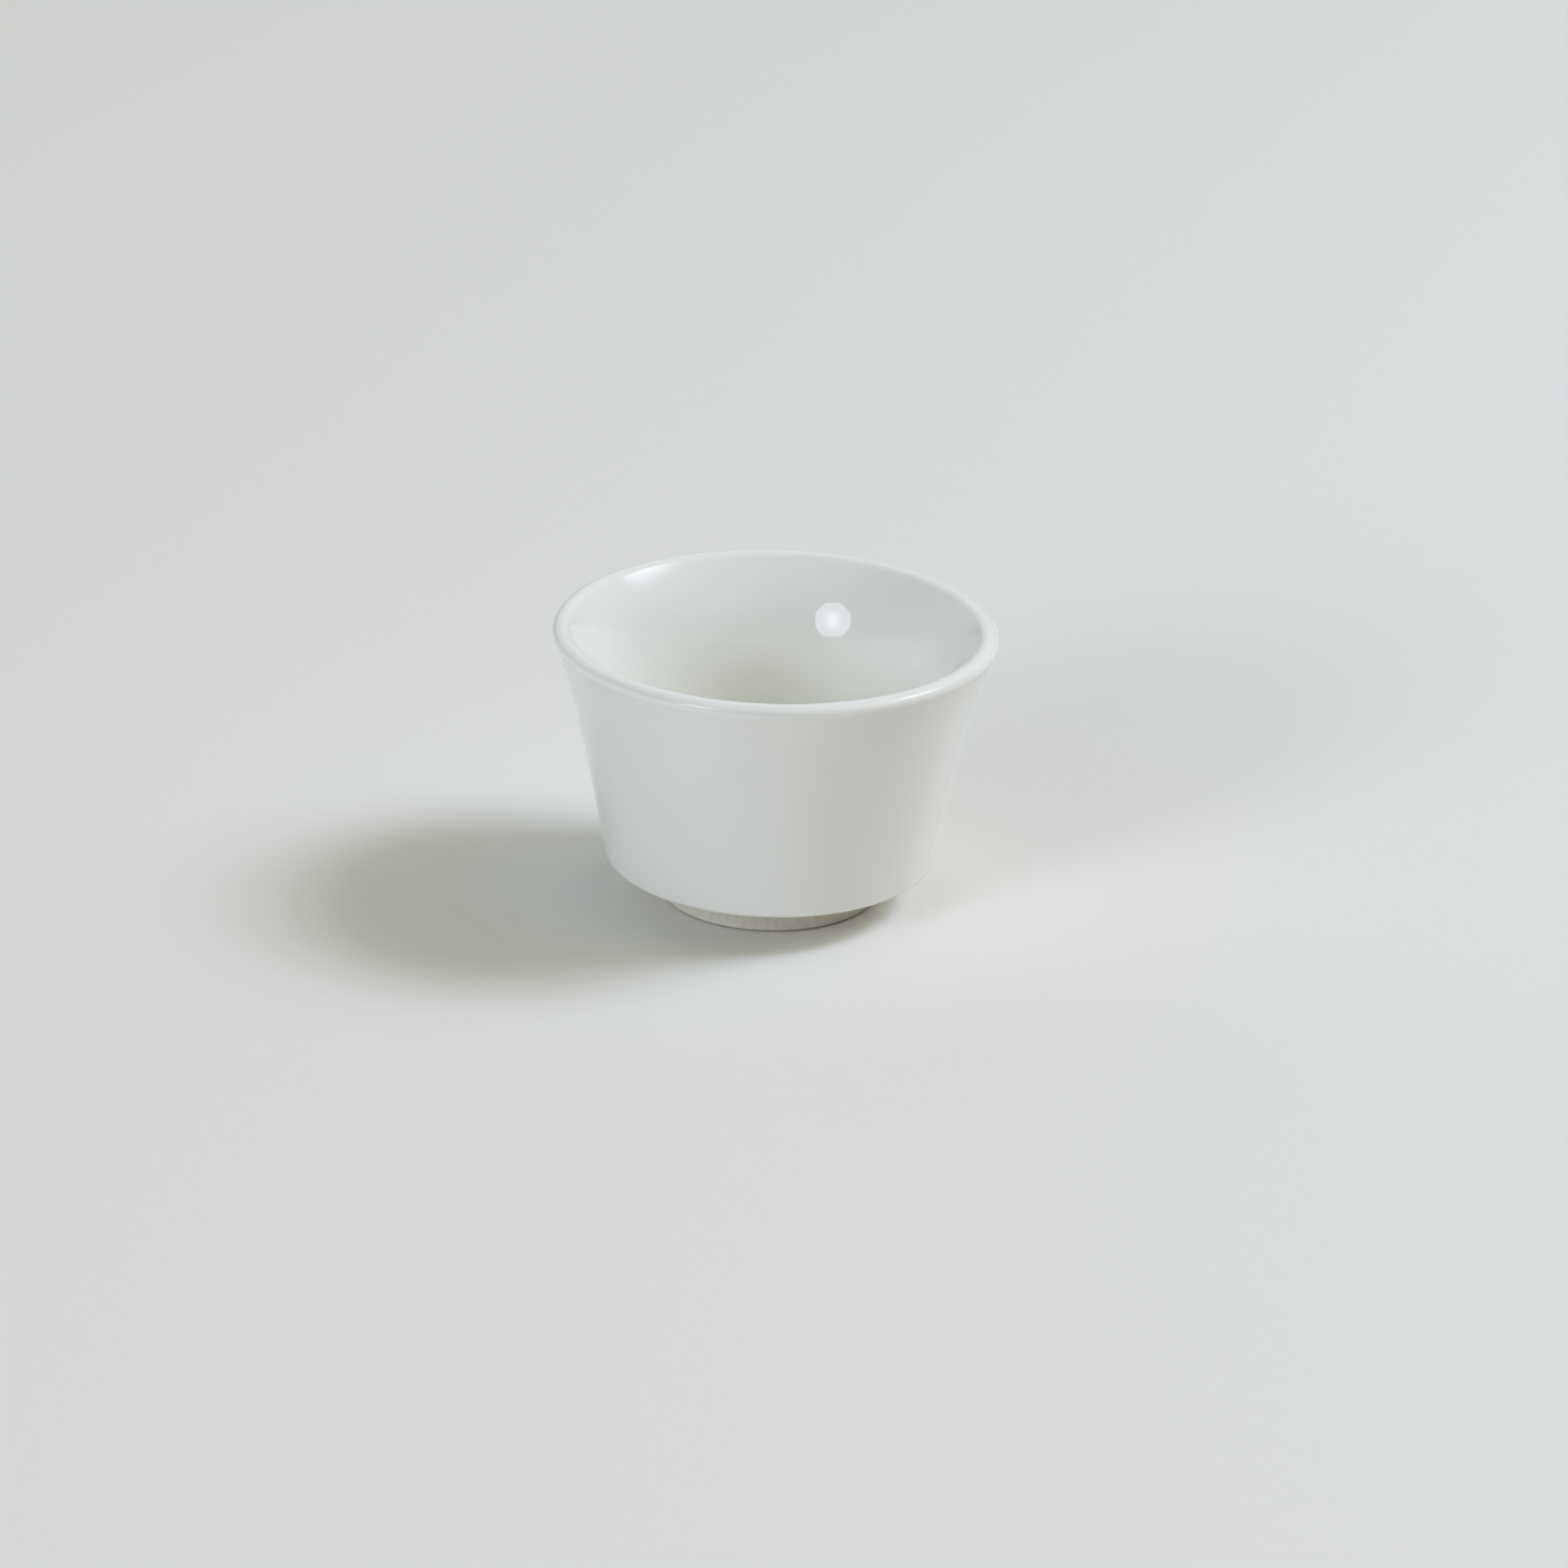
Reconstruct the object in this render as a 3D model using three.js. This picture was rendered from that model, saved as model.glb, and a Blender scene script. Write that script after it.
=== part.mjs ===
// Handleless porcelain tasting cup, in millimetres, standing on z = 0 with +Z up.
// A bowl of fired porcelain stands on a luted foot ring. Glaze covers both in three coats:
// one lines the bowl, one covers the outside and one covers the recess inside the foot ring.
import * as THREE from "three";

// Overall form, measured over the glaze
const height = 45;
const mouthDiameter = 70;
const wallThickness = 5.4;

// Outer wall: it leaves the base at one slant from upright and reaches the lip at another.
// Each reach is how far the wall holds on to the slant at its end.
const baseDiameter = 52.4;
const baseHeight = 7.2;
const baseSlant = THREE.MathUtils.degToRad(11);
const baseReach = 10;
const lipSlant = THREE.MathUtils.degToRad(26);
const lipReach = 7;

// Inner wall: it runs beside the outer one from the floor and opens out further below the lip
const innerReach = 11.5;
const flareSlant = THREE.MathUtils.degToRad(45);
const flareReach = 10.3;

// Lip: a slightly flattened round, widest a little below its crest
const lipWidth = 3.2;
const lipCrown = 1.2;

// Bottom of the bowl: a tight turn under the wall, then an underside that falls to the foot
const turnRadius = 1.5;
const undersideSlope = THREE.MathUtils.degToRad(10);
const floorHeight = 10;
const innerCornerRadius = 9;

// Foot ring: it lifts the bowl off the table and is wiped bare where it stands
const footDiameter = 34.4;
const footWidth = 2.6;
const footEdgeRadius = 0.25;
const footFillet = 1.2;
const recessFillet = 1;

// Glaze: an even coat that thins out above the bare edge of the foot
const glaze = 0.3;
const bareHeight = 0.3;
const glazeTaper = 0.3;

// Facets around the axis, and spans along each stretch of the profile
const facets = 48;
const wallSpans = 10;
const lipUnderSpans = 2;
const lipCrownSpans = 5;
const lipInnerSpans = 3;
const turnSpans = 4;
const cornerSpans = 7;
const filletSpans = 3;
const edgeSpans = 2;

// A profile point lies at a radius from the axis and a height above the table.
const at = (radius, z) => new THREE.Vector2(radius, z);

// Unit steps up a wall that leans out from upright, and square out of that wall.
const upWall = (slant) => at(Math.sin(slant), Math.cos(slant));
const outOfWall = (slant) => at(Math.cos(slant), -Math.sin(slant));

// Where a point gets to by a step of some length.
const moved = (point, step, length) => point.clone().addScaledVector(step, length);

// Points along an oval or a round stretch, turning from one angle to another.
function oval(centre, halfWidth, halfHeight, from, to, spans) {
  const turnsBack = to < from;
  const curve = new THREE.EllipseCurve(centre.x, centre.y, halfWidth, halfHeight, from, to, turnsBack);
  return curve.getPoints(spans);
}
const arc = (centre, radius, from, to, spans) => oval(centre, radius, radius, from, to, spans);

// Points up a wall that swings from the base slant to the slant at its top.
function flaredWall(bottom, bottomReach, top, topSlant, topReach) {
  const bottomHandle = moved(bottom, upWall(baseSlant), bottomReach);
  const topHandle = moved(top, upWall(topSlant), -topReach);
  return new THREE.CubicBezierCurve(bottom, bottomHandle, topHandle, top).getPoints(wallSpans);
}

// The same profile at an even distance to the left of its direction of travel.
function offset(profile, distance) {
  return profile.map((point, i) => {
    const before = profile[Math.max(i - 1, 0)];
    const after = profile[Math.min(i + 1, profile.length - 1)];
    const first = point.clone().sub(before).normalize();
    const second = after.clone().sub(point).normalize();
    const travel = first.add(second).normalize();
    return moved(point, at(-travel.y, travel.x), distance);
  });
}

// Stretches of a profile joined end to end, with each shared point kept once.
const samePlace = 1e-6;
function joined(...stretches) {
  return stretches.flat().filter((point, i, all) => i === 0 || point.distanceTo(all[i - 1]) > samePlace);
}

// Lip, met by each wall where its slope is the wall's
const lipHalf = lipWidth / 2;
const lipCentre = at(mouthDiameter / 2 - lipHalf, height - lipCrown);
const lipMeets = (slant) => Math.atan((lipCrown / lipHalf) * Math.tan(slant));
const lipArc = (from, to, spans) => oval(lipCentre, lipHalf, lipCrown, from, to, spans);
const lipUnder = lipArc(-lipMeets(lipSlant), 0, lipUnderSpans);
const lipCrest = lipArc(0, Math.PI / 2, lipCrownSpans);
const lipInside = lipArc(Math.PI / 2, Math.PI - lipMeets(flareSlant), lipInnerSpans);

// Glazed surface of the bowl, outside: from the underside, round the turn and up to the lip's crest
const wallBottom = at(baseDiameter / 2, baseHeight);
const turnCentre = moved(wallBottom, outOfWall(baseSlant), -turnRadius);
const turn = arc(turnCentre, turnRadius, undersideSlope - Math.PI / 2, -baseSlant, turnSpans);
const outerWall = flaredWall(wallBottom, baseReach, lipUnder[0], lipSlant, lipReach);

// Glazed surface of the bowl, inside: from the crest down to the middle of the floor
const innerBase = moved(wallBottom, outOfWall(baseSlant), -wallThickness);
const cornerCentreHeight = floorHeight + innerCornerRadius;
const cornerLift = cornerCentreHeight - innerBase.y - innerCornerRadius * Math.sin(baseSlant);
const cornerTop = moved(innerBase, upWall(baseSlant), cornerLift / Math.cos(baseSlant));
const cornerCentre = moved(cornerTop, outOfWall(baseSlant), -innerCornerRadius);
const corner = arc(cornerCentre, innerCornerRadius, -baseSlant, -Math.PI / 2, cornerSpans);
const innerWallUp = flaredWall(cornerTop, innerReach, lipInside.at(-1), flareSlant, flareReach);
const innerWall = innerWallUp.reverse();

// Line of the underside, from the turn in towards the axis
const footRadius = footDiameter / 2;
const undersideAt = (radius) => turn[0].y - (turn[0].x - radius) * Math.tan(undersideSlope);
const undersideEnd = at(footRadius, undersideAt(footRadius));

// Porcelain under the glaze: the whole bowl set back by the coat, with a flat seat for the foot ring
const outside = joined(turn, outerWall, lipUnder, lipCrest);
const inside = joined(lipInside, innerWall, corner, [at(0, floorHeight)]);
const surface = joined([undersideEnd], outside, inside);
const porcelain = offset(surface, glaze);
const crest = outside.length;
const seatRadius = footRadius - glaze;
const undersideRise = (seatRadius - porcelain[0].x) * Math.tan(undersideSlope);
const seat = at(seatRadius, porcelain[0].y + undersideRise);
const porcelainOutside = [seat, ...porcelain.slice(1, crest + 1)];
const porcelainInside = porcelain.slice(crest);
const footInnerRadius = seatRadius - footWidth;

function bowlProfile() {
  return [at(0, seat.y), ...porcelainOutside, ...porcelainInside.slice(1)];
}

function footRingProfile() {
  const outerEdge = at(seatRadius - footEdgeRadius, footEdgeRadius);
  const innerEdge = at(footInnerRadius + footEdgeRadius, footEdgeRadius);
  return joined(
    arc(outerEdge, footEdgeRadius, -Math.PI / 2, 0, edgeSpans),
    [seat, at(footInnerRadius, seat.y)],
    arc(innerEdge, footEdgeRadius, -Math.PI, -Math.PI / 2, edgeSpans),
    [at(outerEdge.x, 0)],
  );
}

function linerGlazeProfile() {
  return [...porcelainInside.toReversed(), ...inside];
}

function outerGlazeProfile() {
  const bareEdge = at(seatRadius, bareHeight);
  const filletRadius = footRadius + footFillet;
  const filletCentre = at(filletRadius, undersideAt(filletRadius) - footFillet / Math.cos(undersideSlope));
  return joined(
    [bareEdge, at(footRadius, bareHeight + glazeTaper)],
    arc(filletCentre, footFillet, Math.PI, Math.PI / 2 + undersideSlope, filletSpans),
    outside,
    porcelainOutside.toReversed(),
    [bareEdge],
  );
}

function baseGlazeProfile() {
  const glazedRadius = footInnerRadius - glaze;
  const ceiling = seat.y - glaze;
  const filletCentre = at(glazedRadius - recessFillet, ceiling - recessFillet);
  return joined(
    [at(0, ceiling)],
    arc(filletCentre, recessFillet, Math.PI / 2, 0, filletSpans),
    [at(glazedRadius, bareHeight + glazeTaper), at(footInnerRadius, bareHeight)],
    [at(footInnerRadius, seat.y), at(0, seat.y)],
  );
}

const porcelainBody = { color: 0xe4e2dc, roughness: 0.7, metalness: 0 };
const clearGlaze = { color: 0xdde1df, roughness: 0.12, metalness: 0 };

// One piece of the cup, turned about the upright axis.
function turned(name, profile, look) {
  const geometry = new THREE.LatheGeometry(profile, facets).rotateX(Math.PI / 2);
  const mesh = new THREE.Mesh(geometry, new THREE.MeshStandardMaterial(look));
  mesh.name = name;
  return mesh;
}

const cup = new THREE.Group();
cup.name = "tasting_cup";
cup.add(
  turned("bowl", bowlProfile(), porcelainBody),
  turned("foot_ring", footRingProfile(), porcelainBody),
  turned("liner_glaze", linerGlazeProfile(), clearGlaze),
  turned("outer_glaze", outerGlazeProfile(), clearGlaze),
  turned("base_glaze", baseGlazeProfile(), clearGlaze),
);

export default cup;
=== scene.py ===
import math

import bmesh
import bpy
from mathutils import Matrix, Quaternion, Vector
from mathutils.geometry import interpolate_bezier


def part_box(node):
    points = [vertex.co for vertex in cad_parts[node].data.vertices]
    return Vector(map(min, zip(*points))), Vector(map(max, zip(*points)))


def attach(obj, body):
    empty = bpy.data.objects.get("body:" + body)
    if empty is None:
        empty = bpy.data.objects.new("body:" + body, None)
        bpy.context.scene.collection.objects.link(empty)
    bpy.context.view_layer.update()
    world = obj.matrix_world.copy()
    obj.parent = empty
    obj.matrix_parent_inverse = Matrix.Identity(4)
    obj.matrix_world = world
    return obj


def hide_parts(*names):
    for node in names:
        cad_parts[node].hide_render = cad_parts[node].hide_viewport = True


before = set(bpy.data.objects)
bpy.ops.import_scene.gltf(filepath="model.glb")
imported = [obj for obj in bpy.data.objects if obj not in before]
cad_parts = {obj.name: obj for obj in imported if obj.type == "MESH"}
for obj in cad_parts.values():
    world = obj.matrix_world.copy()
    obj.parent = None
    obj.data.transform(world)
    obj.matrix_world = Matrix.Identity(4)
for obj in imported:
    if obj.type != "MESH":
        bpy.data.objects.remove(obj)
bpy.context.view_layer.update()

# Glazed porcelain tasting cup, in metres, standing on z = 0
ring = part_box("foot_ring")
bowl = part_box("bowl")
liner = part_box("liner_glaze")
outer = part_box("outer_glaze")
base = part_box("base_glaze")

mouthRadius = outer[1][0]
cupHeight = outer[1][2]
coat = outer[1][0] - bowl[1][0]         # thickness of the glaze
crestRadius = liner[1][0]               # where the inside and outside coats meet
floorTop = liner[0][2] + coat
seatHeight = bowl[0][2]                 # the foot ring is luted on here
ringOuter = ring[1][0]
ringInner = base[1][0]
bareTop = outer[0][2]                   # below this the foot is wiped clean of glaze
samePlace = 1e-6                        # points closer than this are one

scene = bpy.context.scene


# Camera

shot = {
    "imageSide": 1800,                  # pixels
    "focal": 8727,                      # pixels
    "cupMiddle": (886.55, 870.56),      # pixel that the middle of the cup falls on
    "distance": 1.2,
    "elevation": math.radians(22.25),
    "roll": math.radians(1.58),
    "sensor": 36,                       # millimetres
    "clipStart": 0.05,
    "clipEnd": 40,
}


def placeCamera():
    lens = bpy.data.cameras.new("camera")
    lens.sensor_width = shot["sensor"]
    lens.lens = shot["sensor"] * shot["focal"] / shot["imageSide"]
    lens.clip_start = shot["clipStart"]
    lens.clip_end = shot["clipEnd"]
    camera = bpy.data.objects.new("camera", lens)
    scene.collection.objects.link(camera)

    middle = Vector((0, 0, cupHeight / 2))
    towards = Vector((0, -math.cos(shot["elevation"]), math.sin(shot["elevation"])))
    level = (-towards).to_track_quat("-Z", "Y")
    rolled = Quaternion((0, 0, 1), shot["roll"])
    across = (shot["cupMiddle"][0] - shot["imageSide"] / 2) / shot["focal"]
    up = (shot["imageSide"] / 2 - shot["cupMiddle"][1]) / shot["focal"]
    offCentre = Vector((across, up, -1)).rotation_difference(Vector((0, 0, -1)))

    camera.location = middle + towards * shot["distance"]
    camera.rotation_mode = "QUATERNION"
    camera.rotation_quaternion = level @ rolled @ offCentre
    scene.camera = camera
    print("camera: lens", round(lens.lens, 1), "mm")


placeCamera()


# Glaze and bare porcelain

def put(tree, kind, sockets, **settings):   # a node, with each socket linked or set
    node = tree.nodes.new(kind)
    for name, value in settings.items():
        setattr(node, name, value)
    for name, value in sockets.items():
        if isinstance(value, bpy.types.NodeSocket):
            tree.links.new(value, node.inputs[name])
        else:
            node.inputs[name].default_value = value
    return node


def mixed(tree, share, first, second):      # two colours, by a share of the second
    node = put(tree, "ShaderNodeMix", {0: share, 6: first, 7: second}, data_type="RGBA")
    return node.outputs[2]


def ranged(tree, value, start, end, low, high):     # low at start, high at end, smooth between them
    sockets = {"Value": value, "From Min": start, "From Max": end, "To Min": low, "To Max": high}
    node = put(tree, "ShaderNodeMapRange", sockets, interpolation_type="SMOOTHSTEP")
    return node.outputs["Result"]


def newMaterial(name):
    material = bpy.data.materials.new(name)
    material.use_nodes = True
    return material, material.node_tree


firedForm = {
    "driftDetail": 3,
    "driftRoughness": 0.55,
    "grainDetail": 2,
    "grainRoughness": 0.5,
}


def buildFiredSurface():                    # slow drift of tone, scattered specks and fine grain
    group = bpy.data.node_groups.new("firedSurface", "ShaderNodeTree")
    group.interface.new_socket("Vector", in_out="INPUT", socket_type="NodeSocketVector")
    for name in ("Drift Scale", "Speck Scale", "Speck Size", "Grain Scale"):
        group.interface.new_socket(name, in_out="INPUT", socket_type="NodeSocketFloat")
    for name in ("Drift", "Specks", "Grain"):
        group.interface.new_socket(name, in_out="OUTPUT", socket_type="NodeSocketFloat")
    given = put(group, "NodeGroupInput", {}).outputs
    drift = put(group, "ShaderNodeTexNoise", {"Vector": given["Vector"], "Scale": given["Drift Scale"],
                                              "Detail": firedForm["driftDetail"],
                                              "Roughness": firedForm["driftRoughness"]})
    cells = put(group, "ShaderNodeTexVoronoi", {"Vector": given["Vector"], "Scale": given["Speck Scale"]})
    specks = ranged(group, cells.outputs["Distance"], given["Speck Size"], 0, 0, 1)
    grain = put(group, "ShaderNodeTexNoise", {"Vector": given["Vector"], "Scale": given["Grain Scale"],
                                              "Detail": firedForm["grainDetail"],
                                              "Roughness": firedForm["grainRoughness"]})
    put(group, "NodeGroupOutput", {"Drift": drift.outputs[0], "Specks": specks, "Grain": grain.outputs[0]})
    return group


firedSurface = buildFiredSurface()


def startFired(name, look):                 # a material with its place and its fired surface
    material, tree = newMaterial(name)
    place = put(tree, "ShaderNodeTexCoord", {}).outputs["Object"]
    fired = put(tree, "ShaderNodeGroup", {}, node_tree=firedSurface)
    tree.links.new(place, fired.inputs["Vector"])
    fired.inputs["Drift Scale"].default_value = look["driftScale"]
    fired.inputs["Speck Scale"].default_value = look["speckScale"]
    fired.inputs["Speck Size"].default_value = look["speckSize"]
    fired.inputs["Grain Scale"].default_value = look["grainScale"]
    return material, tree, place, fired.outputs


def heightAt(tree, place):
    return put(tree, "ShaderNodeSeparateXYZ", {"Vector": place}).outputs["Z"]


def dress(tree, look, color, roughness, grain):
    shader = tree.nodes["Principled BSDF"]
    bump = put(tree, "ShaderNodeBump", {"Height": grain, "Distance": look["grainDepth"]})
    tree.links.new(color, shader.inputs["Base Color"])
    tree.links.new(roughness, shader.inputs["Roughness"])
    tree.links.new(bump.outputs["Normal"], shader.inputs["Normal"])
    shader.inputs["IOR"].default_value = look["ior"]


glazeLook = {
    "white": (0.866, 0.858, 0.788, 1),
    "cool": (0.850, 0.848, 0.786, 1),       # the white drifts to this
    "thinAndLit": (0.886, 0.878, 0.808, 1),       # lighter over sharp bends: partly glaze stretched thin over an edge, partly painted light on the lip's top
    "pooledAndShaded": (0.852, 0.812, 0.668, 1),     # darker and warmer in the well: partly glaze gathered there, partly painted warm shade
    "lowFoot": (0.780, 0.752, 0.630, 1),       # darker and warmer low on the foot, under the bowl
    "reflectedGrain": (0.710, 0.665, 0.530, 1),  # painted reflection of the table's grain on the foot, in upright streaks
    "speck": (0.46, 0.43, 0.37, 1),
    "thinAndLitFrom": 120,                        # bend of the profile, per metre
    "thinAndLitFull": 460,
    "pooledAndShadedFrom": 0.0225,                   # distance from the axis
    "pooledAndShadedFull": 0.0120,
    "lowFootFrom": 0.0050,                     # height above the table
    "lowFootFull": 0.0034,
    # painted reflection of the table's grain on the foot
    "reflectedGrainScale": 1500,
    "reflectedGrainSquash": (1, 1, 0.4),            # draws them out upright
    "reflectedGrainDetail": 2,
    "reflectedGrainFrom": 0.35,
    "reflectedGrainFull": 0.8,
    "speckShade": 0.35,
    "smooth": 0.025,                        # roughness where clean, where handled and where seen edge on
    "handled": 0.060,
    "handledFrom": 0.35,
    "handledFull": 0.65,
    "edgeOn": 0.20,
    "edgeOnFrom": 0.85,
    "edgeOnFull": 0.97,
    "driftScale": 42,
    "speckScale": 240,
    "speckSize": 0.045,
    "grainScale": 330,
    "grainDepth": 0.000004,
    "ior": 1.5,
}


def glazeColor(tree, place, fired):
    look = glazeLook
    color = mixed(tree, fired["Drift"], look["white"], look["cool"])

    # painted light on the lip's top and other sharp bends, partly also glaze stretched thin there
    bend = put(tree, "ShaderNodeAttribute", {}, attribute_name="edgeBend").outputs["Fac"]
    thinAndLit = ranged(tree, bend, look["thinAndLitFrom"], look["thinAndLitFull"], 0, 1)
    color = mixed(tree, thinAndLit, color, look["thinAndLit"])

    # painted warm shade deep in the well, partly also glaze gathered there
    level = put(tree, "ShaderNodeVectorMath", {0: place, 1: (1, 1, 0)}, operation="MULTIPLY")
    fromAxis = put(tree, "ShaderNodeVectorMath", {0: level.outputs["Vector"]}, operation="LENGTH")
    pooledAndShaded = ranged(tree, fromAxis.outputs["Value"], look["pooledAndShadedFrom"], look["pooledAndShadedFull"], 0, 1)
    color = mixed(tree, pooledAndShaded, color, look["pooledAndShaded"])

    # painted reflection of the table's grain, in upright streaks on the foot
    drawnOut = put(tree, "ShaderNodeMapping", {"Vector": place, "Scale": look["reflectedGrainSquash"]})
    noise = put(tree, "ShaderNodeTexNoise", {"Vector": drawnOut.outputs["Vector"],
                                             "Scale": look["reflectedGrainScale"], "Detail": look["reflectedGrainDetail"]})
    grainReflection = ranged(tree, noise.outputs[0], look["reflectedGrainFrom"], look["reflectedGrainFull"], 0, 1)
    reflectedFoot = mixed(tree, grainReflection, look["lowFoot"], look["reflectedGrain"])
    # darker and warmer towards the bottom of the foot, under the bowl
    lowFoot = ranged(tree, heightAt(tree, place), look["lowFootFrom"], look["lowFootFull"], 0, 1)
    color = mixed(tree, lowFoot, color, reflectedFoot)

    speck = ranged(tree, fired["Specks"], 0, 1, 0, look["speckShade"])
    return mixed(tree, speck, color, look["speck"])


def glazeRoughness(tree, fired):
    look = glazeLook
    roughness = ranged(tree, fired["Drift"], look["handledFrom"], look["handledFull"],
                       look["smooth"], look["handled"])
    facing = put(tree, "ShaderNodeLayerWeight", {}).outputs["Facing"]
    edgeOn = ranged(tree, facing, look["edgeOnFrom"], look["edgeOnFull"], 0, 1)
    return put(tree, "ShaderNodeMix", {0: edgeOn, 2: roughness, 3: look["edgeOn"]}).outputs[0]


def makeGlaze():
    material, tree, place, fired = startFired("whiteGlaze", glazeLook)
    color = glazeColor(tree, place, fired)
    dress(tree, glazeLook, color, glazeRoughness(tree, fired), fired["Grain"])
    return material


porcelainLook = {
    "white": (0.80, 0.775, 0.73, 1),
    "warm": (0.77, 0.735, 0.68, 1),
    "speck": (0.36, 0.31, 0.25, 1),
    "contactShadow": (0.30, 0.25, 0.19, 1),         # painted contact shadow along the standing edge
    "contactShadowTop": 0.00045,                    # height above the table
    "contactShadowShare": 0.85,
    "speckShade": 0.6,
    "smooth": 0.62,                         # roughness between the grains and on them
    "coarse": 0.8,
    "coarseFrom": 0.3,
    "coarseFull": 0.7,
    "driftScale": 160,
    "speckScale": 700,
    "speckSize": 0.10,
    "grainScale": 3200,
    "grainDepth": 0.00003,
    "ior": 1.5,
}


def makePorcelain():
    look = porcelainLook
    material, tree, place, fired = startFired("barePorcelain", look)
    # painted contact shadow along the standing edge
    contactShaded = ranged(tree, heightAt(tree, place), look["contactShadowTop"], 0, 0, look["contactShadowShare"])
    speck = ranged(tree, fired["Specks"], 0, 1, 0, look["speckShade"])
    color = mixed(tree, fired["Drift"], look["white"], look["warm"])
    color = mixed(tree, contactShaded, color, look["contactShadow"])
    color = mixed(tree, speck, color, look["speck"])
    roughness = ranged(tree, fired["Grain"], look["coarseFrom"], look["coarseFull"],
                       look["smooth"], look["coarse"])
    dress(tree, look, color, roughness, fired["Grain"])
    return material


glaze = makeGlaze()
porcelain = makePorcelain()
print("materials: glaze and bare porcelain")


# Profile of the glazed surface: every point is a radius, 0 and a height

cupForm = {
    "baseRadius": 0.0262,
    "baseHeight": 0.0072,
    "baseSlant": math.radians(11),          # from upright
    "baseReach": 0.010,                     # how far the wall holds on to that slant
    "lipSlant": math.radians(26),
    "lipReach": 0.007,
    "lipCrown": 0.0012,
    "wallThickness": 0.0054,
    "innerReach": 0.0115,
    "flareSlant": math.radians(45),
    "flareReach": 0.0103,
    "turnRadius": 0.0015,
    "undersideSlope": math.radians(10),
    "cornerRadius": 0.009,
    "footFillet": 0.0012,
    "recessFillet": 0.0010,
    "wallSpans": 40,
    "lipSpans": 16,
    "lipEasing": 2,                         # spans are finest at the crest, so that no seam shows there
    "turnSpans": 12,
    "cornerSpans": 24,
    "filletSpans": 10,
    "aroundSteps": 192,
}


def at(radius, height):
    return Vector((radius, 0, height))


def upWall(slant):
    return at(math.sin(slant), math.cos(slant))


def outOfWall(slant):
    return at(math.cos(slant), -math.sin(slant))


def oval(centre, halfWidth, halfHeight, fromAngle, toAngle, spans, easing=1):
    points = []
    for i in range(spans + 1):
        angle = fromAngle + (toAngle - fromAngle) * (i / spans) ** easing
        points.append(centre + at(halfWidth * math.cos(angle), halfHeight * math.sin(angle)))
    return points


def flaredWall(bottom, bottomReach, top, topSlant, topReach):
    bottomHandle = bottom + upWall(cupForm["baseSlant"]) * bottomReach
    topHandle = top - upWall(topSlant) * topReach
    return interpolate_bezier(bottom, bottomHandle, topHandle, top, cupForm["wallSpans"] + 1)


lipHalf = mouthRadius - crestRadius
lipCentre = at(crestRadius, cupHeight - cupForm["lipCrown"])


def lipMeets(slant):                        # angle on the lip where a wall of this slant runs into it
    return math.atan(cupForm["lipCrown"] / lipHalf * math.tan(slant))


def lipFromCrest(toAngle):
    return oval(lipCentre, lipHalf, cupForm["lipCrown"], math.pi / 2, toAngle, cupForm["lipSpans"],
                cupForm["lipEasing"])


wallBottom = at(cupForm["baseRadius"], cupForm["baseHeight"])
wallOut = outOfWall(cupForm["baseSlant"])
turnCentre = wallBottom - wallOut * cupForm["turnRadius"]
undersideTop = turnCentre - upWall(-cupForm["undersideSlope"]) * cupForm["turnRadius"]


def undersideAt(radius):
    return undersideTop.z - (undersideTop.x - radius) * math.tan(cupForm["undersideSlope"])


def outsideProfile():                       # round the turn and up to the crest of the lip
    radius = cupForm["turnRadius"]
    turnStart = cupForm["undersideSlope"] - math.pi / 2
    turn = oval(turnCentre, radius, radius, turnStart, -cupForm["baseSlant"], cupForm["turnSpans"])
    lip = lipFromCrest(-lipMeets(cupForm["lipSlant"]))[::-1]
    wall = flaredWall(wallBottom, cupForm["baseReach"], lip[0], cupForm["lipSlant"], cupForm["lipReach"])
    return turn + wall[1:] + lip[1:]


def insideProfile():                        # from the crest of the lip down to the middle of the floor
    radius = cupForm["cornerRadius"]
    slant = cupForm["baseSlant"]
    innerBase = wallBottom - wallOut * cupForm["wallThickness"]
    lift = floorTop + radius - innerBase.z - radius * math.sin(slant)
    cornerTop = innerBase + upWall(slant) * lift / math.cos(slant)
    lip = lipFromCrest(math.pi - lipMeets(cupForm["flareSlant"]))
    wall = flaredWall(cornerTop, cupForm["innerReach"], lip[-1], cupForm["flareSlant"], cupForm["flareReach"])
    corner = oval(cornerTop - wallOut * radius, radius, radius, -slant, -math.pi / 2, cupForm["cornerSpans"])
    return lip + wall[-2::-1] + corner[1:] + [at(0, floorTop)]


def footProfile():                          # up the side of the foot and out under the bowl
    radius = cupForm["footFillet"]
    footRadius = ringOuter + coat
    slope = cupForm["undersideSlope"]
    centre = at(footRadius + radius, undersideAt(footRadius + radius) - radius / math.cos(slope))
    fillet = oval(centre, radius, radius, math.pi, math.pi / 2 + slope, cupForm["filletSpans"])
    return [at(footRadius, bareTop)] + fillet


def recessProfile():                        # from the axis out and down the inside of the foot ring
    radius = cupForm["recessFillet"]
    recessRadius = ringInner - coat
    ceiling = seatHeight - coat
    centre = at(recessRadius - radius, ceiling - radius)
    fillet = oval(centre, radius, radius, math.pi / 2, 0, cupForm["filletSpans"])
    return [at(0, ceiling)] + fillet + [at(recessRadius, bareTop)]


def edgeBends(points):                      # how sharply the profile bends, positive where it bulges out
    bends = []
    for before, point, after in zip(points, points[1:], points[2:]):
        first = point - before
        second = after - point
        bend = (first.x * second.z - first.z * second.x) / (first.length * second.length)
        bends.append(bend * 2 / (first.length + second.length))
    bends = bends[:1] + bends + bends[-1:]
    return [(a + b + c) / 3 for a, b, c in zip(bends[:1] + bends, bends, bends[1:] + bends[-1:])]


# Turned pieces

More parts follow.
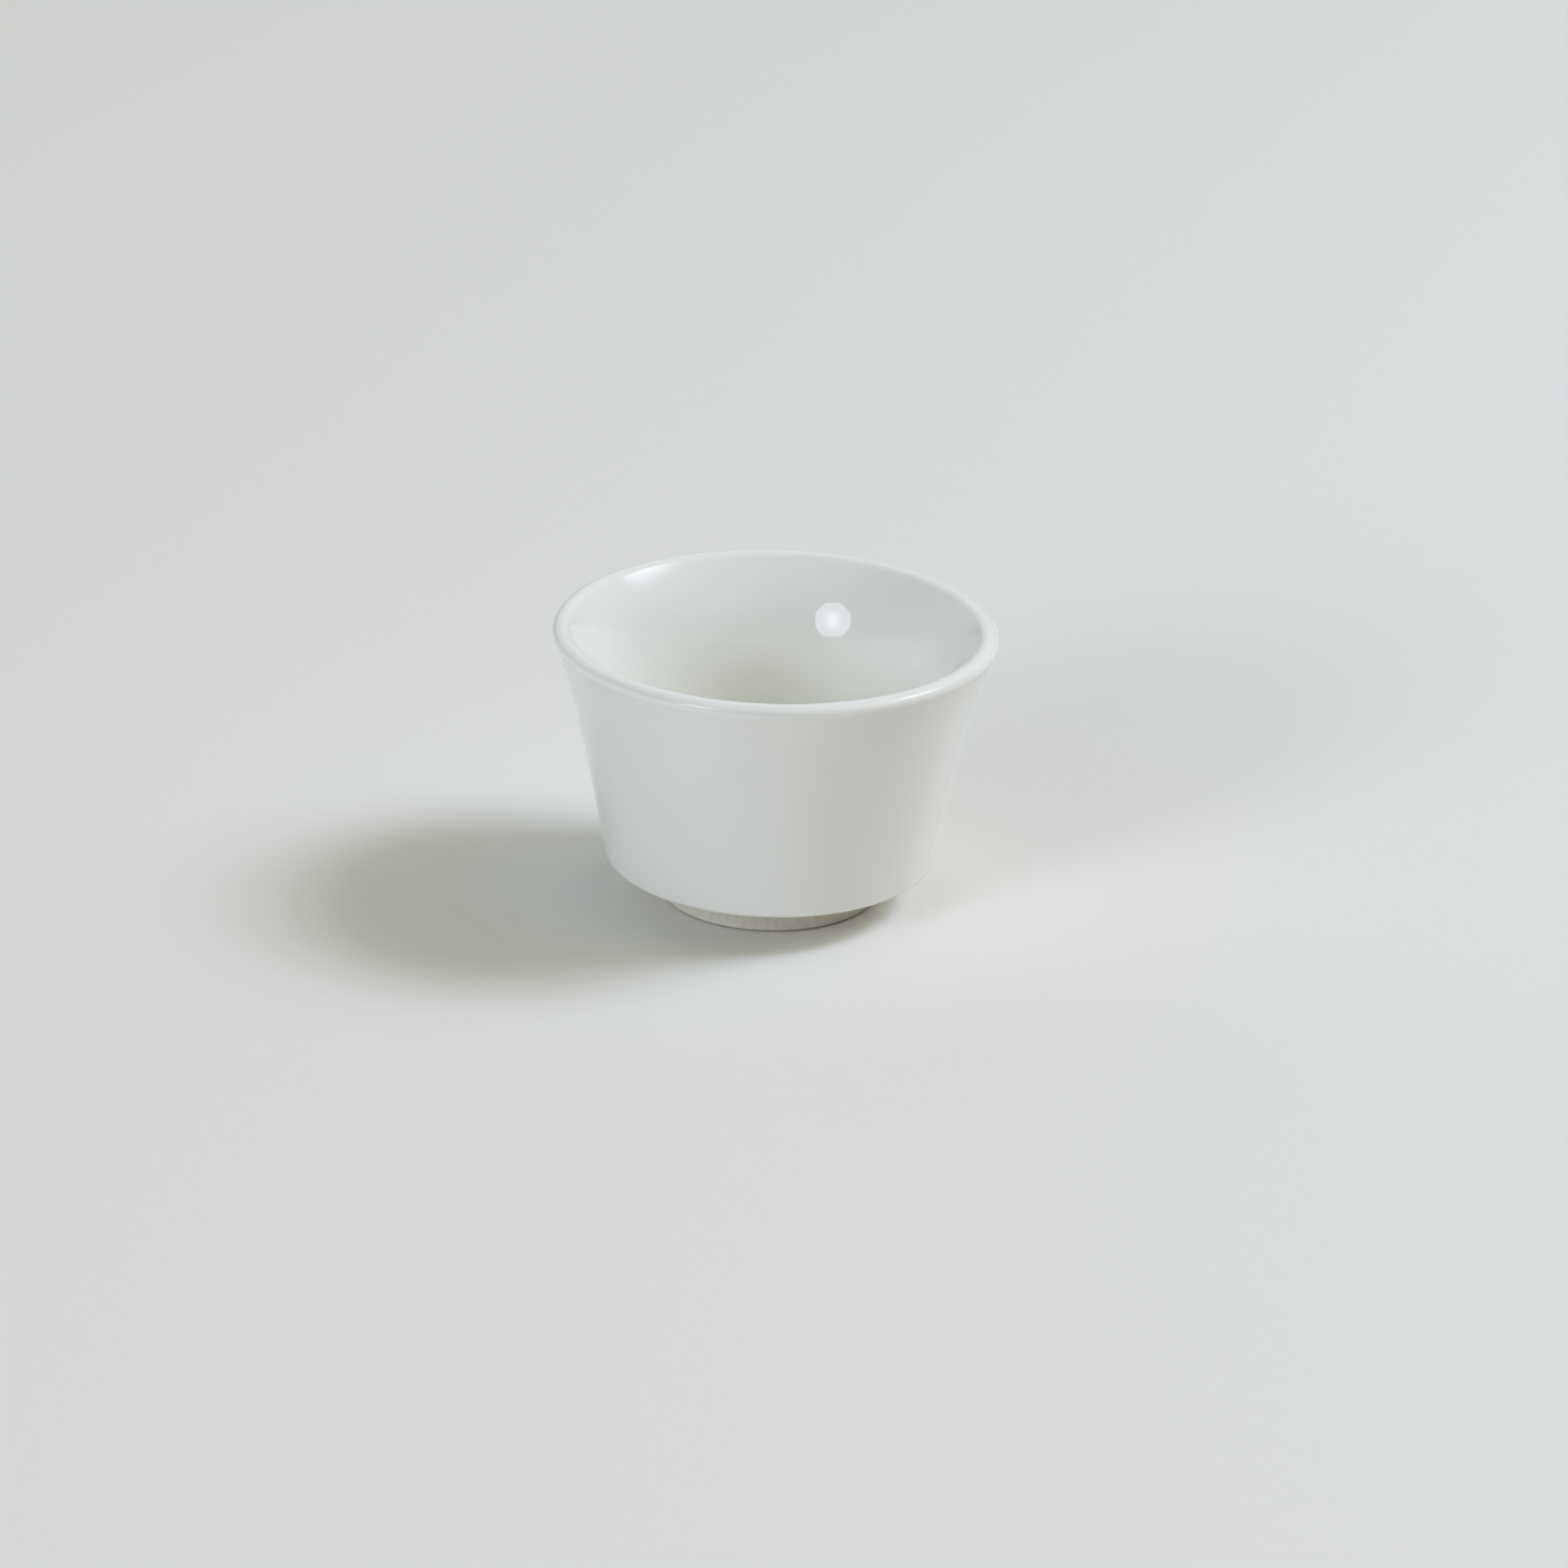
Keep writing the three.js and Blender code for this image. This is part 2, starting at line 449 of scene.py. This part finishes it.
sharpEdge = math.radians(40)


def turned(points, closed=False):
    bm = bmesh.new()
    bendLayer = bm.verts.layers.float.new("edgeBend")
    tip = bm.verts.new(points[0])
    first = tip
    for point in points[1:]:
        grown = bmesh.ops.extrude_vert_indiv(bm, verts=[tip])
        tip = grown["verts"][0]
        tip.co = point
    for vert, bend in zip(bm.verts, edgeBends(points)):
        vert[bendLayer] = bend
    if closed:
        bm.edges.new((tip, first))
    bmesh.ops.spin(bm, geom=bm.verts[:] + bm.edges[:], cent=(0, 0, 0), axis=(0, 0, 1),
                   angle=2 * math.pi, steps=cupForm["aroundSteps"], use_merge=True)
    bmesh.ops.remove_doubles(bm, verts=bm.verts, dist=samePlace)
    bmesh.ops.recalc_face_normals(bm, faces=bm.faces)
    return bm


def finishPiece(bm, name, node, material):
    if bm.calc_volume(signed=True) < 0:
        bmesh.ops.reverse_faces(bm, faces=bm.faces)
    for face in bm.faces:
        face.smooth = True
    for edge in bm.edges:
        edge.smooth = edge.calc_face_angle(0) < sharpEdge
    mesh = bpy.data.meshes.new(name)
    bm.to_mesh(mesh)
    bm.free()
    mesh.materials.append(material)
    piece = bpy.data.objects.new(name, mesh)
    scene.collection.objects.link(piece)
    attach(piece, "root")
    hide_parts(node)
    low = [round(min(vert.co[i] for vert in mesh.vertices) * 1000, 2) for i in range(3)]
    high = [round(max(vert.co[i] for vert in mesh.vertices) * 1000, 2) for i in range(3)]
    print("piece:", name, len(mesh.polygons), "faces", low, high)


def makeBowl():                             # porcelain, set back from the glazed surface by the coat
    undersideEnd = at(ringOuter, undersideAt(ringOuter))
    bm = turned([undersideEnd] + outsideProfile() + insideProfile()[1:])
    for vert in bm.verts:
        vert.co -= vert.normal * coat
    seatEdges = [edge for edge in bm.edges if edge.is_boundary]
    for vert in set(vert for edge in seatEdges for vert in edge.verts):
        vert.co *= ringOuter / vert.co.xy.length
        vert.co.z = seatHeight
    bmesh.ops.holes_fill(bm, edges=seatEdges)
    finishPiece(bm, "bowlBody", "bowl", porcelain)


ringForm = {
    "edgeRadius": 0.00025,
    "edgeSpans": 8,
}


def makeFootRing():
    radius = ringForm["edgeRadius"]
    spans = ringForm["edgeSpans"]
    outside = oval(at(ringOuter - radius, radius), radius, radius, -math.pi / 2, 0, spans)
    inside = oval(at(ringInner + radius, radius), radius, radius, -math.pi, -math.pi / 2, spans)
    points = outside + [at(ringOuter, seatHeight), at(ringInner, seatHeight)] + inside
    finishPiece(turned(points, closed=True), "footRing", "foot_ring", porcelain)


coatForm = {
    "beadSize": 0.00020,                    # the coat ends above the bare edge in a soft bead
    "beadSpans": 4,
}


def makeCoat(points, side, name, node):
    bm = turned(points)
    ends = [edge for edge in bm.edges if edge.is_boundary]
    bead = [edge for edge in ends if abs(edge.verts[0].co.z - bareTop) < samePlace]
    bmesh.ops.solidify(bm, geom=bm.faces[:], thickness=coat * side)
    bmesh.ops.bevel(bm, geom=bead, offset=coatForm["beadSize"], segments=coatForm["beadSpans"], profile=0.5,
                    affect="EDGES", material=-1)
    finishPiece(bm, name, node, glaze)


makeBowl()
makeFootRing()
makeCoat(footProfile() + outsideProfile(), 1, "outerCoat", "outer_glaze")
makeCoat(insideProfile(), 1, "linerCoat", "liner_glaze")
makeCoat(recessProfile(), -1, "baseCoat", "base_glaze")


# Floor and light

def addStage(name, sides, radius, material):    # a flat disc or panel that isn't part of the cup
    bm = bmesh.new()
    bmesh.ops.create_circle(bm, cap_ends=True, segments=sides, radius=radius)
    mesh = bpy.data.meshes.new(name)
    bm.to_mesh(mesh)
    bm.free()
    mesh.materials.append(material)
    disc = bpy.data.objects.new(name, mesh)
    scene.collection.objects.link(disc)
    return disc


floorLook = {
    "sides": 64,
    "radius": 12,
    "color": (0.81, 0.79, 0.72, 1),
    "roughness": 0.9,
    "fadeFrom": 0.7,                        # further out, the camera sees it fade into the backdrop
    "fadeTo": 2.0,
}


def makeFloor():
    material, tree = newMaterial("floor")
    shader = tree.nodes["Principled BSDF"]
    shader.inputs["Base Color"].default_value = floorLook["color"]
    shader.inputs["Roughness"].default_value = floorLook["roughness"]
    place = put(tree, "ShaderNodeTexCoord", {}).outputs["Object"]
    fromCup = put(tree, "ShaderNodeVectorMath", {0: place}, operation="LENGTH").outputs["Value"]
    fade = ranged(tree, fromCup, floorLook["fadeFrom"], floorLook["fadeTo"], 1, 0)
    seen = put(tree, "ShaderNodeLightPath", {}).outputs["Is Camera Ray"]
    cover = put(tree, "ShaderNodeMix", {0: seen, 2: 1, 3: fade})
    tree.links.new(cover.outputs[0], shader.inputs["Alpha"])
    addStage("floor", floorLook["sides"], floorLook["radius"], material)
    print("floor: radius", floorLook["radius"])


makeFloor()

# Directions of light are measured from the camera's side towards +X, and up from the floor, in degrees
keyLight = {
    "azimuth": 100,
    "elevation": 45,
    "distance": 2.2,
    "sides": 4,
    "radius": 0.62,
    "turn": 45,
    "color": (0.697, 0.774, 1.0, 1),
    "middle": 27.1,                         # strength of the light it casts, at its middle and its rim
    "rim": 6.4,
    "hotSpot": (0.20, 0.25),                # brightest place in its reflection, across and up the panel
    "hotFrom": 0.15,                        # distance from that place
    "hotTo": 0.75,
    "mirroredHot": 5.8,                     # strength in its reflection, at that place and away from it
    "mirroredDim": 0.3,
    "mirroredColor": (0.93, 0.95, 1.0, 1),
}
fillLight = {
    "azimuth": -39.5,
    "elevation": 21,
    "distance": 2.2,
    "sides": 8,
    "radius": 0.49,
    "turn": 22.5,
    "color": (0.80, 0.822, 1.0, 1),
    "middle": 12.8,
    "rim": 6.2,
    "hotSpot": (0, 0),
    "hotFrom": 0,
    "hotTo": 0.34,
    "mirroredHot": 10.2,
    "mirroredDim": 5.3,
    "mirroredColor": (0.80, 0.86, 1.0, 1),
}
lightsAimAt = Vector((0, 0, 0.03))


def lightTowards(azimuth, elevation):
    level = math.cos(math.radians(elevation))
    return Vector((math.sin(math.radians(azimuth)) * level, -math.cos(math.radians(azimuth)) * level,
                   math.sin(math.radians(elevation))))


def makeGlow(name, light, turn):            # what the panel casts, and what the glaze mirrors of it
    material, tree = newMaterial(name)
    tree.nodes.clear()
    place = put(tree, "ShaderNodeTexCoord", {}).outputs["Object"]
    fromMiddle = put(tree, "ShaderNodeVectorMath", {0: place}, operation="LENGTH").outputs["Value"]
    cast = ranged(tree, fromMiddle, 0, light["radius"], light["middle"], light["rim"])
    hotSpot = turn.inverted() @ Vector((*light["hotSpot"], 0))
    fromHot = put(tree, "ShaderNodeVectorMath", {0: place, 1: hotSpot}, operation="DISTANCE")
    mirrored = ranged(tree, fromHot.outputs["Value"], light["hotFrom"], light["hotTo"],
                      light["mirroredHot"], light["mirroredDim"])
    inGlaze = put(tree, "ShaderNodeLightPath", {}).outputs["Is Glossy Ray"]
    strength = put(tree, "ShaderNodeMix", {0: inGlaze, 2: cast, 3: mirrored}).outputs[0]
    color = mixed(tree, inGlaze, light["color"], light["mirroredColor"])
    emission = put(tree, "ShaderNodeEmission", {"Color": color, "Strength": strength})
    put(tree, "ShaderNodeOutputMaterial", {"Surface": emission.outputs["Emission"]})
    return material


def addPanel(name, light):
    turn = Quaternion((0, 0, 1), math.radians(light["turn"]))
    panel = addStage(name, light["sides"], light["radius"], makeGlow(name, light, turn))
    towards = lightTowards(light["azimuth"], light["elevation"])
    panel.location = lightsAimAt + towards * light["distance"]
    facing = (-towards).to_track_quat("-Z", "Y") @ turn
    panel.rotation_euler = facing.to_euler()
    panel.visible_camera = False


roomLight = {
    "backdrop": (0.68, 0.70, 0.69, 1),      # plain and pale behind the floor
    "tightness": 8,
    "glows": [                              # azimuth, elevation and colour of each soft glow
        (135, 25, (0.57, 0.60, 0.63)),
        (180, 25, (0.44, 0.46, 0.48)),
        (225, 25, (0.72, 0.76, 0.80)),
        (270, 20, (0.09, 0.09, 0.10)),
        (315, 45, (0.61, 0.80, 0.81)),
        (90, 55, (0.92, 0.70, 0.11)),
    ],
}


def addRoomLight():
    world = bpy.data.worlds.new("room")
    world.use_nodes = True
    tree = world.node_tree
    tree.nodes.clear()
    direction = put(tree, "ShaderNodeTexCoord", {}).outputs["Generated"]
    total = (0, 0, 0)
    for azimuth, elevation, color in roomLight["glows"]:
        towards = lightTowards(azimuth, elevation)
        facing = put(tree, "ShaderNodeVectorMath", {0: direction, 1: towards}, operation="DOT_PRODUCT")
        lit = put(tree, "ShaderNodeMath", {0: facing.outputs["Value"], 1: 0}, operation="MAXIMUM")
        glow = put(tree, "ShaderNodeMath", {0: lit.outputs[0], 1: roomLight["tightness"]}, operation="POWER")
        added = {0: glow.outputs[0], 1: color, 2: total}
        total = put(tree, "ShaderNodeVectorMath", added, operation="MULTIPLY_ADD").outputs["Vector"]
    room = put(tree, "ShaderNodeBackground", {"Color": total}).outputs[0]
    backdrop = put(tree, "ShaderNodeBackground", {"Color": roomLight["backdrop"]}).outputs[0]
    seen = put(tree, "ShaderNodeLightPath", {}).outputs["Is Camera Ray"]
    mix = put(tree, "ShaderNodeMixShader", {0: seen, 1: room, 2: backdrop})
    put(tree, "ShaderNodeOutputWorld", {"Surface": mix.outputs[0]})
    scene.world = world


addPanel("keyLight", keyLight)
addPanel("fillLight", fillLight)
addRoomLight()
scene.view_settings.view_transform = "Standard"
print("lights: key, fill and room")
